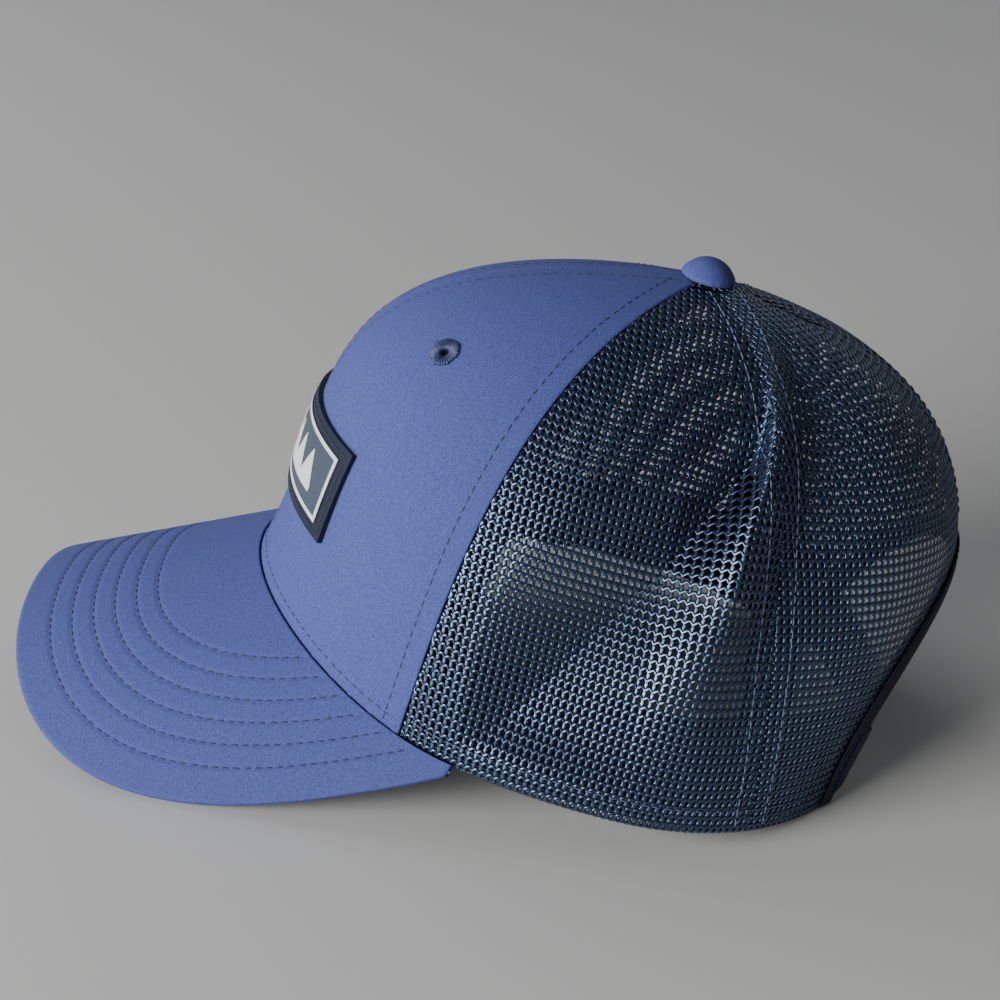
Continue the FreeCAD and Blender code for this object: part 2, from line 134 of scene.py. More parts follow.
# Creases of the limp mesh, from the front seam to the back: each is a line of valleys
# (positive) or ridges (negative), as rises up the wall, the angle and the depth at each
FOLD_LINES = (
    ((0.0, 0.40, 0.57, 0.67, 0.84, 0.95), (66, 66, 73, 77, 94, 100), (0.0, 0.0, -1.0, -1.4, -1.0, 0.0)),
    ((0.03, 0.15, 0.28, 0.41, 0.53, 0.66, 0.72, 0.85, 0.95), (68, 72.5, 78.5, 86, 97, 112, 116, 120, 122),
     (0.0, 5.2, 8.8, 10.8, 10.2, 6.7, 3.0, 0.5, 0.0)),
    ((0.05, 0.30, 0.40, 0.51, 0.70, 0.85, 0.95), (104, 102, 106, 109, 119, 124, 126),
     (-1.0, -3.0, -3.4, -3.2, -1.9, 0.5, 0.0)),
    ((0.10, 0.30, 0.50, 0.63, 0.81, 0.93), (116, 116, 123, 131, 138, 143), (0.0, 2.5, 5.5, 6.0, 4.5, 0.0)),
    ((0.20, 0.50, 0.71, 0.85, 0.95), (146, 149, 155, 163, 167), (0.0, 1.0, 0.8, 0.0, 0.0)),
    ((0.85, 0.925, 0.97), (180, 180, 180), (0.0, 1.8, 0.0)),
)
FOLD_ROUNDING = 0.5
FAR_SIDE_SHARE = 0.6

SIDES = (("left", 1), ("right", -1))

rng = np.random.default_rng(11)


# ---- the shape of the crown ----

def rest(points):
    """Cap frame in millimetres to the table's frame in metres."""
    points = np.asarray(points, float)
    y = points[..., 1] * math.cos(TILT) + points[..., 2] * math.sin(TILT) + SHIFT_Y
    z = -points[..., 1] * math.sin(TILT) + points[..., 2] * math.cos(TILT) + SHIFT_Z
    return np.stack([points[..., 0], y, z], -1) * MM


def unit(vectors):
    return vectors / np.maximum(np.linalg.norm(vectors, axis=-1, keepdims=True), 1e-12)


def dot(a, b):
    return (a * b).sum(-1, keepdims=True)


def walked(line):
    """The length from the first point of a line to each of its points."""
    return np.concatenate([[0.0], np.cumsum(np.linalg.norm(np.diff(line, axis=0), axis=1))])


def wave(terms, angle):
    return sum(term * np.cos(order * angle) for order, term in enumerate(terms))


def smooth_step(value, low, high):
    share = np.clip((value - low) / (high - low), 0.0, 1.0)
    return share * share * (3 - 2 * share)


def smooth_curve(value, stations, heights):
    """A curve through the heights that is level at each station."""
    stations, heights = np.array(stations, float), np.array(heights, float)
    index = np.clip(np.searchsorted(stations, value) - 1, 0, len(stations) - 2)
    low, high = stations[index], stations[index + 1]
    share = np.clip((value - low) / (high - low), 0.0, 1.0)
    tangent = np.gradient(heights, stations)
    tangent[0], tangent[-1] = 0.0, 0.0
    gap = high - low
    first = (2 * share ** 3 - 3 * share ** 2 + 1) * heights[index]
    second = (share ** 3 - 2 * share ** 2 + share) * gap * tangent[index]
    third = (3 * share ** 2 - 2 * share ** 3) * heights[index + 1]
    fourth = (share ** 3 - share ** 2) * gap * tangent[index + 1]
    return first + second + third + fourth


def bill_arch(x):
    return BILL_ARCH_SQUARE * x ** 2 + BILL_ARCH_FOURTH * x ** 4


def hem_plan(angle):
    reach = np.where(np.cos(angle) > 0, FRONT_REACH, BACK_REACH)
    return HALF_WIDTH * np.sin(angle), -reach * np.cos(angle)


CORNER_X, CORNER_Y = [float(value) for value in hem_plan(np.array(BILL_CORNER_ANGLE))]


def bill_height(x, y):
    return math.tan(BILL_SLOPE) * (y - CORNER_Y) - bill_arch(x) + bill_arch(CORNER_X)


def crown(angle, rise):
    """Outside of the crown: rise 0 is the hem and 1 is the apex."""
    angle, rise = np.broadcast_arrays(np.asarray(angle, float), np.asarray(rise, float))
    x, y = hem_plan(angle)
    z = np.where(np.abs(angle) < BILL_CORNER_ANGLE, bill_height(x, y), 0.0)
    hem = np.stack([x, y, z], -1)
    apex = np.array([0.0, APEX_Y, APEX_Z]) + 0 * hem
    plan = unit((hem - apex) * np.array([1.0, 1.0, 0.0]))
    up = np.array([0.0, 0.0, 1.0])
    lean = np.radians(wave(WALL_LEAN, angle))[..., None]
    lower = hem + wave(LOWER_FULLNESS, angle)[..., None] * (plan * np.sin(lean) + up * np.cos(lean))
    upper = apex + wave(UPPER_FULLNESS, angle)[..., None] * (plan - up * wave(TOP_FALL, angle)[..., None])
    t = rise[..., None]
    return hem * (1 - t) ** 3 + 3 * lower * (1 - t) ** 2 * t + 3 * upper * (1 - t) * t ** 2 + apex * t ** 3


def crown_frame(angle, rise):
    """Directions around, up and outward on the crown."""
    step = 1e-4
    around = unit(crown(angle + step, rise) - crown(angle - step, rise))
    up = unit(crown(angle, rise + step) - crown(angle, rise - step))
    return around, up, unit(np.cross(around, up))


def reach_per_radian(angle, rise):
    return np.linalg.norm(crown(angle + 1e-3, rise) - crown(angle - 1e-3, rise), axis=-1) / 2e-3


def sag(angle, rise):
    """How far the limp mesh has sunk in, in millimetres."""
    turn = np.degrees(angle)
    turn = (turn + 180.0) % 360.0 - 180.0
    side = np.where(turn >= 0, 1.0, FAR_SIDE_SHARE)
    turn, rise = np.broadcast_arrays(np.abs(turn), np.asarray(rise, float))
    last_at, last_depth = np.full(turn.shape, FRONT_SEAM + 1.0), np.zeros(turn.shape)
    total = np.zeros(turn.shape)
    for rises, angles, depths in FOLD_LINES:
        at, depth = smooth_curve(rise, rises, angles), smooth_curve(rise, rises, depths)
        share = np.clip((turn - last_at) / np.maximum(at - last_at, 1e-6), 0.0, 1.0)
        share = share + FOLD_ROUNDING * (share * share * (3 - 2 * share) - share)
        total = np.where(turn >= last_at, last_depth + (depth - last_depth) * share, total)
        last_at, last_depth = at, depth
    return total * smooth_step(rise, 0.0, 0.10) * side


def layer(angle, rise, depth):
    """A point at a depth inside the crown's outer surface, with the folds."""
    out = crown_frame(angle, rise)[2]
    inward = np.asarray(depth + sag(angle, rise))[..., None]
    return crown(angle, rise) - out * inward


def on_crown(angle, rise, depth=0.0):
    """A point in the crown's cloth, and the direction outwards there."""
    return layer(angle, rise, depth), crown_frame(angle, rise)[2]


def folded_frame(angle, rise):
    """Directions around and up on the folded mesh."""
    step = 2e-3
    around = layer(angle + step, rise, 0.0) - layer(angle - step, rise, 0.0)
    up = layer(angle, rise + step, 0.0) - layer(angle, rise - step, 0.0)
    return unit(around), unit(up)


def top_rise(angle):
    return 1 - TOP_HOLE / (3 * wave(UPPER_FULLNESS, angle))


LENGTH_STEPS = 400


def rise_along_wall(angle, length):
    """The rise at a length up the wall from the hem, for arrays of angles."""
    angle, length = np.broadcast_arrays(np.asarray(angle, float), np.asarray(length, float))
    rises = np.linspace(0.0, 1.0, LENGTH_STEPS)
    keys, where = np.unique(np.round(angle, 5), return_inverse=True)
    found = np.empty(angle.size)
    lengths = length.ravel()
    where = where.ravel()
    for k, key in enumerate(keys):
        line = crown(np.full(LENGTH_STEPS, key), rises)
        mine = where == k
        found[mine] = np.interp(lengths[mine], walked(line), rises)
    return found.reshape(angle.shape)


def rise_at_height(angle, height):
    low, high = np.zeros_like(angle), np.ones_like(angle)
    for _ in range(30):
        middle = (low + high) / 2
        below = crown(angle, middle)[..., 2] < height
        low, high = np.where(below, middle, low), np.where(below, high, middle)
    return (low + high) / 2


# ---- making mesh pieces ----

def placed(name, data):
    """A new object in the scene."""
    thing = bpy.data.objects.new(name, data)
    bpy.context.scene.collection.objects.link(thing)
    return thing


def new_mesh(name, points, faces, uv=None):
    """A mesh object from millimetre points; faces all face outwards."""
    mesh = bpy.data.meshes.new(name)
    mesh.from_pydata(rest(points).tolist(), [], faces)
    mesh.update()
    if uv is not None:
        layer_uv = mesh.uv_layers.new(name="flat")
        indices = np.empty(len(mesh.loops), np.int32)
        mesh.loops.foreach_get("vertex_index", indices)
        layer_uv.data.foreach_set("uv", np.asarray(uv, np.float32)[indices].ravel())
    mesh.polygons.foreach_set("use_smooth", [True] * len(faces))
    return placed(name, mesh)


def finished(piece, finish, stands_for=()):
    """Gives a piece its material, the cap to ride on, and the CAD nodes that it replaces."""
    piece.data.materials.append(finish)
    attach(piece, "cap")
    if stands_for:
        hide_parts(*stands_for)
    return piece


def grid_faces(count_u, count_v, ring_u=False, ring_v=False, turned=False):
    """Faces of a grid of points, which closes on itself where it is a ring."""
    i, j = np.meshgrid(np.arange(count_u - 1 + ring_u), np.arange(count_v - 1 + ring_v), indexing="ij")
    next_i, next_j = (i + 1) % count_u, (j + 1) % count_v
    corners = [(i, j), (next_i, j), (next_i, next_j), (i, next_j)]
    faces = np.stack([a * count_v + b for a, b in corners], -1).reshape(-1, 4)
    return faces[:, [0, 3, 2, 1]] if turned else faces


def graded(length, step, edge=0.45):
    """Positions from 0 to 1 along a length, closer together at both ends."""
    fine = np.array([0.0, 0.04, 0.14, 0.28, 0.45]) * edge / 0.45
    count = max(2, int(round((length - 2 * edge) / step)))
    inner = np.linspace(edge, length - edge, count + 1)[1:-1]
    return np.concatenate([fine, inner, length - fine[::-1]]) / length


def edge_share(distance, radius):
    """Half thickness of a cloth's rounded edge, as a share of the full one."""
    left = 1 - np.clip(distance / radius, 0.0, 1.0)
    return np.sqrt(1 - left ** 2)


def cloth_solid(point, across, along, width, length, depth, thick, hole=None):
    """A closed sheet with rounded edges: point(u, v, depth) over a grid of u and v.

    depth is the outer face's; width and length may vary over the grid.
    hole = (centre, radius) leaves a round hole there.
    """
    u, v = np.meshgrid(across, along, indexing="ij")
    radius = thick / 2
    from_edge = np.minimum(np.minimum(u, 1 - u) * width, np.minimum(v, 1 - v) * length)
    half = radius * edge_share(from_edge, radius)
    outer = point(u, v, depth + radius - half)
    inner = point(u, v, depth + radius + half)
    count_u, count_v = u.shape
    quads = grid_faces(count_u, count_v)
    whole = np.arange(count_u * count_v).reshape(count_u, count_v)
    under = whole.copy()
    inside = np.zeros_like(whole, bool)
    inside[1:-1, 1:-1] = True
    under[inside] = count_u * count_v + np.arange(inside.sum())
    points = np.concatenate([outer.reshape(-1, 3), inner[inside]])
    under = under.ravel()
    flat = np.stack([(u * width).ravel(), (v * length).ravel()], 1) * MM
    uv = np.concatenate([flat, flat[inside.ravel()]])
    faces = []
    if hole is not None:
        centre, hole_radius = hole
        middle = outer.reshape(-1, 3)[quads].mean(1)
        cut = np.linalg.norm(middle - centre, axis=1) < hole_radius
        walls, border = [], set()
        gone = {tuple(sorted(pair)) for face in quads[cut] for pair in zip(face, np.roll(face, -1))}
        for face in quads[~cut]:
            for a, b in zip(face, np.roll(face, -1)):
                if tuple(sorted((a, b))) in gone:
                    walls.append([int(b), int(a), int(under[a]), int(under[b])])
                    border.update((int(a), int(b)))
        for a in border:
            for index in (a, int(under[a])):
                away = points[index] - centre
                points[index] = centre + away * hole_radius / np.linalg.norm(away[:3])
        quads = quads[~cut]
        faces += walls
    faces += quads.tolist()
    faces += under[quads][:, ::-1].tolist()
    used, where = np.unique(np.array([index for face in faces for index in face]), return_inverse=True)
    where = where.reshape(-1, 4)
    return outward_faces(points[used], where.tolist()), uv[used]


def outward_faces(points, faces):
    """Turns every face round if the closed mesh is inside out."""
    sample = [(face[0], face[k], face[k + 1]) for face in faces for k in range(1, len(face) - 1)]
    a, b, c = [points[np.array(sample)[:, k]] for k in range(3)]
    volume = (a * np.cross(b, c)).sum()
    if volume < 0:
        faces = [face[::-1] for face in faces]
    return points, faces


def tube(points, hint, radius, sides, flat=1.0):
    """Rings and faces of a closed tube along points; hint is its wide direction."""
    along = unit(np.gradient(points, axis=0))
    side = unit(hint - along * dot(hint, along))
    other = np.cross(along, side)
    turn = np.linspace(0, 2 * math.pi, sides, endpoint=False)
    radius = np.broadcast_to(np.asarray(radius, float), len(points))[:, None, None]
    ring = side[:, None] * np.cos(turn)[None, :, None] * flat + other[:, None] * np.sin(turn)[None, :, None]
    rings = points[:, None] + ring * radius
    count = len(points)
    faces = grid_faces(count, sides, ring_v=True, turned=True).tolist()
    faces.append(list(range(sides))[::-1])
    faces.append(list(range((count - 1) * sides, count * sides)))
    return rings.reshape(-1, 3), faces


def joined(parts):
    """One set of points and faces from several."""
    points, faces, start = [], [], 0
    for part_points, part_faces in parts:
        points.append(part_points)
        faces += [[index + start for index in face] for face in part_faces]
        start += len(part_points)
    return np.concatenate(points), faces


def along_path(path, normals, spacing):
    """Resamples a path; returns points and normals at even lengths."""
    lengths = walked(path)
    at = np.arange(0.0, lengths[-1], spacing)
    points = np.stack([np.interp(at, lengths, path[:, k]) for k in range(3)], 1)
    ups = unit(np.stack([np.interp(at, lengths, normals[:, k]) for k in range(3)], 1))
    return points, ups


STITCH_LENGTH = 2.5
STITCH_PITCH = 3.1
STITCH_SAMPLES = 6


def stitches(path, normals, radius, lift):
    """A row of single stitches that dip into the cloth at both ends."""
    fine = STITCH_LENGTH / (STITCH_SAMPLES - 1)
    points, ups = along_path(path, normals, fine)
    per_stitch = STITCH_PITCH / fine
    parts = []
    start = 0.0
    profile = np.sin(np.linspace(0, math.pi, STITCH_SAMPLES)) ** 0.6
    while start + STITCH_SAMPLES < len(points):
        first = int(round(start))
        some = points[first:first + STITCH_SAMPLES]
        up = ups[first:first + STITCH_SAMPLES]
        raised = some + up * (profile * (lift + radius * 0.6) - radius * 0.9)[:, None]
        thick = radius * (0.55 + 0.45 * profile)
        parts.append(tube(raised, up, thick, 6))
        start += per_stitch
    return parts


def thread_piece(name, parts, finish):
    return finished(new_mesh(name, *joined(parts)), finish)


# ---- materials ----

def set_values(node, values):
    """Sets a node's inputs, where an underscore stands for a space, and its other settings."""
    for key, value in values.items():
        socket = key.replace("_", " ")
        if socket in node.inputs:
            node.inputs[socket].default_value = value
        else:
            setattr(node, key, value)


def node_material(name, **values):
    made = bpy.data.materials.new(name)
    made.use_nodes = True
    shader = made.node_tree.nodes["Principled BSDF"]
    set_values(shader, values)
    return made, made.node_tree, shader


def add_node(tree, kind, links=(), **values):
    """A new node with its settings, and with outputs of other nodes linked into its inputs."""
    node = tree.nodes.new(kind)
    set_values(node, values)
    for socket, output in links:
        tree.links.new(output, node.inputs[socket])
    return node


def uneven(name, dark, light, ends, grain, strength, relief, pitch=None, **values):
    """A surface with a fine grain that varies its colour and its height.

    ends are the grain's values for the dark and the light colour; pitch is a weave's, in millimetres.
    """
    made, tree, shader = node_material(name, **values)
    place = tree.nodes.new("ShaderNodeTexCoord")
    noise = add_node(tree, "ShaderNodeTexNoise", [("Vector", place.outputs["Object"])], **grain)
    ramp = add_node(tree, "ShaderNodeValToRGB", [("Fac", noise.outputs["Fac"])])
    for element, position, colour in zip(ramp.color_ramp.elements, ends, (dark, light)):
        element.position = position
        element.color = (*colour, 1)
    tree.links.new(ramp.outputs["Color"], shader.inputs["Base Color"])
    height = noise.outputs["Fac"]
    if pitch:
        threads = [add_node(tree, "ShaderNodeTexWave", [("Vector", place.outputs["UV"])],
                            bands_direction=direction, wave_profile="SIN",
                            Scale=1 / (pitch * MM) / 20 * math.pi, Distortion=1.2, Detail=1.0)
                   for direction in ("X", "Y")]
        weave = add_node(tree, "ShaderNodeMath", [(k, threads[k].outputs["Fac"]) for k in range(2)],
                         operation="MULTIPLY")
        height = add_node(tree, "ShaderNodeMath", [(0, weave.outputs[0]), (1, height)],
                          operation="ADD").outputs[0]
    bump = add_node(tree, "ShaderNodeBump", [("Height", height)], Strength=strength, Distance=relief)
    tree.links.new(bump.outputs["Normal"], shader.inputs["Normal"])
    return made


def cloth(name, dark, light, pitch, rough=0.8, relief=0.00008):
    """Woven cloth: two sets of threads at a pitch in millimetres, with uneven colour."""
    tint = (*[min(1.0, 2.2 * c + 0.1) for c in light], 1)
    grain = {"Scale": 2100.0, "Detail": 3.0}
    return uneven(name, dark, light, (0.32, 0.68), grain, 0.6, relief, pitch, Roughness=rough,
                  Specular_IOR_Level=0.2, Sheen_Weight=0.08, Sheen_Roughness=0.5, Sheen_Tint=tint)


def yarn(name, dark, light, rough=0.4, specular=0.5, twist=900.0, tint=(1.0, 1.0, 1.0), ior=1.5):
    """Thread or yarn with fine fibres."""
    grain = {"Scale": twist, "Detail": 2.0, "Distortion": 0.6}
    return uneven(name, dark, light, (0.3, 0.7), grain, 0.5, 0.00006,
                  Roughness=rough, Specular_IOR_Level=specular, Specular_Tint=(*tint, 1), IOR=ior)


def moulded(name, dark, light, rough=0.45, specular=0.5, scale=500.0, metallic=0.0):
    """Moulded rubber, plastic or metal with a faint uneven skin."""
    grain = {"Scale": scale, "Detail": 4.0}
    return uneven(name, dark, light, (0.0, 1.0), grain, 0.4, 0.00003,
                  Roughness=rough, Specular_IOR_Level=specular, Metallic=metallic)


BLUE_DARK = (0.044, 0.060, 0.212)
BLUE_LIGHT = (0.084, 0.106, 0.330)
NAVY_DARK = (0.003, 0.005, 0.014)
NAVY_LIGHT = (0.010, 0.015, 0.040)

front_cloth = cloth("front_cloth", BLUE_DARK, BLUE_LIGHT, 0.34)
bill_cloth = cloth("bill_cloth", BLUE_DARK, BLUE_LIGHT, 0.34)
button_cloth = cloth("button_cloth", BLUE_DARK, BLUE_LIGHT, 0.34)
tape_cloth = cloth("seam_tape", (0.008, 0.011, 0.026), (0.016, 0.022, 0.048), 0.5, rough=0.85)
band_cloth = cloth("sweatband", (0.012, 0.017, 0.042), (0.022, 0.030, 0.070), 0.45, rough=0.9)
binding_cloth = cloth("binding", (0.007, 0.009, 0.020), (0.014, 0.018, 0.036), 0.6, rough=0.7, relief=0.00015)
buckram_cloth = cloth("buckram", (0.42, 0.42, 0.40), (0.66, 0.66, 0.63), 0.9, rough=0.9, relief=0.0002)
label_cloth = cloth("label_cloth", (0.60, 0.60, 0.58), (0.80, 0.80, 0.78), 0.3, rough=0.6)
mesh_yarn = yarn("mesh_yarn", NAVY_DARK, NAVY_LIGHT, rough=0.3, specular=1.0, tint=(0.47, 0.66, 1.0), ior=1.8)
dark_thread = yarn("dark_thread", (0.010, 0.014, 0.045), (0.022, 0.030, 0.085), rough=0.6, twist=3000.0)
mesh_thread = yarn("mesh_thread", (0.060, 0.078, 0.150), (0.120, 0.150, 0.270), rough=0.5, twist=3000.0)
eyelet_thread = yarn("eyelet_thread", (0.020, 0.027, 0.080), (0.055, 0.070, 0.19), rough=0.45, twist=2500.0)
patch_navy = moulded("patch_navy", (0.010, 0.014, 0.028), (0.016, 0.022, 0.040), rough=0.5, specular=0.25)
patch_grey = moulded("patch_grey", (0.045, 0.060, 0.090), (0.055, 0.073, 0.105), rough=0.5, specular=0.3)
patch_white = moulded("patch_white", (0.62, 0.64, 0.66), (0.72, 0.74, 0.76), rough=0.5)
strap_plastic = moulded("strap_plastic", (0.010, 0.014, 0.030), (0.014, 0.019, 0.040), rough=0.42,
                        scale=900.0)
bill_board_finish = moulded("board", (0.55, 0.56, 0.58), (0.66, 0.67, 0.69), rough=0.5)
button_metal = moulded("button_metal", (0.50, 0.50, 0.51), (0.62, 0.62, 0.63), rough=0.35, metallic=1.0)


# ---- knitted mesh panels ----

def fold_back(beyond):
    """Cloth turned back round its own edge: reach past the turn's start, and depth."""
    r = FOLD_RADIUS
    turn = np.clip(beyond / r, 0.0, math.pi)
    turning = beyond < math.pi * r
    reach = np.where(beyond < 0, beyond, np.where(turning, r * np.sin(turn), math.pi * r - beyond))
    deep = np.where(beyond < 0, -r, np.where(turning, -r * np.cos(turn), r))
    return reach, deep


def table_look_up(table, row, column):
    """Bilinear look-up at fractional rows and columns."""
    row = np.clip(row, 0, table.shape[0] - 1.001)
    column = np.clip(column, 0, table.shape[1] - 1.001)
    i, j = row.astype(int), column.astype(int)
    u, v = row - i, column - j
    low = table[i, j] * (1 - v) + table[i, j + 1] * v
    high = table[i + 1, j] * (1 - v) + table[i + 1, j + 1] * v
    return low * (1 - u) + high * u


TABLE_ROWS = 160
TABLE_REACH = 110.0
TABLE_STEP = 1.0


def gore(first, last):
    """A crown panel laid flat: x around from its middle line and y up it."""
    middle = math.radians((first + last) / 2)
    angles = np.radians(np.linspace(first - 14, last + 14, 240))
    rises = np.linspace(0.0, 0.995, TABLE_ROWS)
    grid = crown(angles[None, :], rises[:, None])
    lengths = np.cumsum(np.linalg.norm(np.diff(grid, axis=1), axis=2), axis=1)
    lengths = np.concatenate([np.zeros((TABLE_ROWS, 1)), lengths], 1)
    stations = np.arange(-TABLE_REACH, TABLE_REACH + TABLE_STEP, TABLE_STEP)
    angle_at = np.empty((TABLE_ROWS, len(stations)))
    edges = np.empty((TABLE_ROWS, 2))
    seams = [math.radians(first + SEAM_HALF_GAP), math.radians(last - SEAM_HALF_GAP)]
    for k in range(TABLE_ROWS):
        here = lengths[k] - np.interp(middle, angles, lengths[k])
        angle_at[k] = np.interp(stations, here, angles)
        edges[k] = np.interp(seams, angles, here)
    up = walked(crown(np.full(TABLE_ROWS, middle), rises))
    return {"rises": rises, "up": up, "angle_at": angle_at, "edges": edges, "middle": middle}


def on_gore(flat, x, y, lift):
    """Where a point of the flat cloth lies, with its directions and whether it is kept."""
    reach, hem_deep = fold_back(-y)
    height = HEM_LIFT + FOLD_RADIUS - reach
    rise = np.interp(height, flat["up"], flat["rises"])
    row = np.interp(rise, flat["rises"], np.arange(TABLE_ROWS))
    low = np.interp(rise, flat["rises"], flat["edges"][:, 0]) + FOLD_RADIUS
    high = np.interp(rise, flat["rises"], flat["edges"][:, 1]) - FOLD_RADIUS
    beyond = np.maximum(x - high, low - x)
    reach, side_deep = fold_back(beyond)
    past = beyond > 0
    to_high = x - high > low - x
    placed = np.where(past, np.where(to_high, high + reach, low - reach), x)
    angle = table_look_up(flat["angle_at"], row, (placed + TABLE_REACH) / TABLE_STEP)
    allowance = np.minimum(SEAM_FOLD, 0.3 * (high - low))
    kept = (beyond < math.pi * FOLD_RADIUS + allowance) & (rise < top_rise(angle)) & (high > low + 1.0)
    deep = FOLD_DEPTH + np.maximum(hem_deep, side_deep)
    around, up = folded_frame(angle, rise)
    points = layer(angle, rise, deep + lift)
    in_arch = (points[..., 0] / ARCH_HALF_WIDTH) ** 2 + (points[..., 2] / ARCH_HEIGHT) ** 2 < 1
    kept &= ~(in_arch & (np.abs(angle) > math.pi / 2))
    return points, around, up, kept


SHORTEST_RUN = 4


def kept_runs(kept):
    """Start and end of every unbroken run of kept samples."""
    marks = np.flatnonzero(np.diff(np.concatenate([[0], kept.astype(int), [0]])))
    return [(a, b) for a, b in zip(marks[::2], marks[1::2]) if b - a >= SHORTEST_RUN]


WALE_STEPS = 4
WALE_FLATNESS = 4.5
WALE_LEAN = 0.22
ROOF_PHASES = np.array([0.0, 0.22, 0.45, 0.68, 0.87])
ROOF_CLIMB = np.array([0.0, 0.5, 0.9, 1.0, 0.4])
ROOF_LIFT = np.array([-0.02, -0.16, -0.24, -0.18, -0.04])
ROOF_FLATNESS = 2.95


def knitted_panel(name, first, last):
    """Open knitted mesh: upright wales, and yarns that arch from one wale to the next."""
    flat = gore(first, last)
    tall = flat["up"][-1]
    wide = np.abs(flat["edges"]).max() + 2
    columns = int(wide / MESH_PITCH) + 1
    parts = []
    fold = np.concatenate([np.arange(-HEM_FOLD - 1, -1.01, 0.62), np.linspace(-1.0, 0.0, 5)])
    upright = np.concatenate([fold, np.arange(MESH_RISE / WALE_STEPS, tall, MESH_RISE / WALE_STEPS)])
    phase = 2 * math.pi * (upright / MESH_RISE - ROW_START)
    for i in range(-columns, columns + 1):
        x = i * MESH_PITCH - WALE_LEAN * np.sin(phase) + 0.05 * rng.standard_normal()
        points, around, up, kept = on_gore(flat, x, upright, 0.06 - 0.07 * np.cos(phase + 0.8))
        for a, b in kept_runs(kept):
            thick = YARN_RADIUS * (1.0 - 0.12 * np.cos(phase[a:b]))
            parts.append(tube(points[a:b], around[a:b], thick, YARN_SIDES, WALE_FLATNESS))
    cells = np.arange(-columns, columns + 1)
    x = (cells[:, None] + ROOF_PHASES[None]).ravel() * MESH_PITCH
    climb, lift = np.tile(ROOF_CLIMB, len(cells)), np.tile(ROOF_LIFT, len(cells))
    for j in range(-3, int(tall / MESH_RISE) + 1):
        y = (j + ROW_START) * MESH_RISE + climb + 0.04 * rng.standard_normal()
        points, around, up, kept = on_gore(flat, x, y, lift)
        for a, b in kept_runs(kept):
            parts.append(tube(points[a:b], up[a:b], YARN_RADIUS * 1.1, YARN_SIDES, ROOF_FLATNESS))
    points, faces = joined(parts)
    return new_mesh(name, points, faces)


for side, sign in SIDES:
    for part, first, last in (("side_mesh", FRONT_SEAM, SIDE_SEAM), ("rear_mesh", SIDE_SEAM, 180.0)):
        name = part + "_" + side
        span = sorted((sign * first, sign * last))
        finished(knitted_panel(name + "_knit", *span), mesh_yarn, stands_for=[name])


# ---- cloth front, its stiffener and the tapes ----

PANEL_REACH = 100.0
PANEL_HEIGHT = 160.0
TAPE_LENGTH = 150.0
BAND_REACH = 95.0

eyelet_centre = {}
eyelet_axis = {}
for side, sign in SIDES:
    angle = np.array(sign * EYELET_ANGLE)
    eyelet_centre[side] = crown(angle, EYELET_RISE)
    eyelet_axis[side] = crown_frame(angle, EYELET_RISE)[2]


def crown_sheet(name, first, last, low, high, grid, size, depth, thick, hole=None):
    """A sheet of cloth on the crown between two angles and two rises.

    grid is where its points lie across and along it, and size is its width and length.
    """
    def point(u, v, deep):
        return layer(first + (last - first) * u, low + (high - low) * v, deep)

    (points, faces), uv = cloth_solid(point, *grid, *size, depth, thick, hole)
    return new_mesh(name, points, faces, uv)


def panel(name, start, end, depth, thick, top_gap, step, hole):
    """A panel of cloth between two angles, from the hem to the button."""
    first, last = math.radians(start), math.radians(end)
    across = graded(abs(last - first) * PANEL_REACH, step)
    along = graded(PANEL_HEIGHT, step)
    angles = first + (last - first) * across
    bottom = rise_along_wall(angles, HEM_LIFT)[:, None]
    top = (top_rise(angles) - top_gap)[:, None]
    width = reach_per_radian(angles[:, None], along[None]) * abs(last - first)
    return crown_sheet(name, first, last, bottom, top, (across, along), (width, PANEL_HEIGHT),
                       depth, thick, hole)


for side, sign in SIDES:
    hole = (eyelet_centre[side] - eyelet_axis[side] * FABRIC_THICK / 2, 2.6)
    piece = panel("front_panel_" + side + "_cloth", sign * SEAM_HALF_GAP, sign * (FRONT_SEAM - SEAM_HALF_GAP),
                  0.0, FABRIC_THICK, 0.0, 1.2, hole)
    finished(piece, front_cloth, stands_for=["front_panel_" + side])
    hole = (eyelet_centre[side] - eyelet_axis[side] * (BUCKRAM_DEPTH + BUCKRAM_THICK / 2), 2.8)
    piece = panel("buckram_" + side + "_cloth", sign * 1.0, sign * (FRONT_SEAM - 3.0),
                  BUCKRAM_DEPTH, BUCKRAM_THICK, 0.02, 2.2, hole)
    finished(piece, buckram_cloth, stands_for=["buckram_" + side])


def seam_tape(node, centre, depth, foot):
    middle = math.radians(centre)
    along = graded(TAPE_LENGTH, 2.0, 0.3)
    across = graded(TAPE_WIDTH, 2.0, 0.3)
    bottom = float(rise_along_wall(middle, foot))
    top = float(top_rise(middle))
    around = reach_per_radian(middle, bottom + (top - bottom) * along)
    half = np.minimum(TAPE_WIDTH / 2 / around, TAPE_MAX_HALF_ANGLE)[None, :]
    size = (2 * half * around, TAPE_LENGTH * (top - bottom))
    piece = crown_sheet(node + "_cloth", middle - half, middle + half, bottom, top, (across, along), size,
                        depth, TAPE_THICK)
    return finished(piece, tape_cloth, stands_for=[node])


TAPE_FOOT = 1.5
REAR_TAPE_FOOT = 79.0
seam_tape("seam_tape_front", 0.0, FRONT_TAPE_DEPTH, TAPE_FOOT)
seam_tape("seam_tape_rear", 180.0, MESH_TAPE_DEPTH, REAR_TAPE_FOOT)
for side, sign in SIDES:
    seam_tape("seam_tape_front_" + side, sign * FRONT_SEAM, FRONT_TAPE_DEPTH, TAPE_FOOT)
    seam_tape("seam_tape_side_" + side, sign * SIDE_SEAM, MESH_TAPE_DEPTH, TAPE_FOOT)


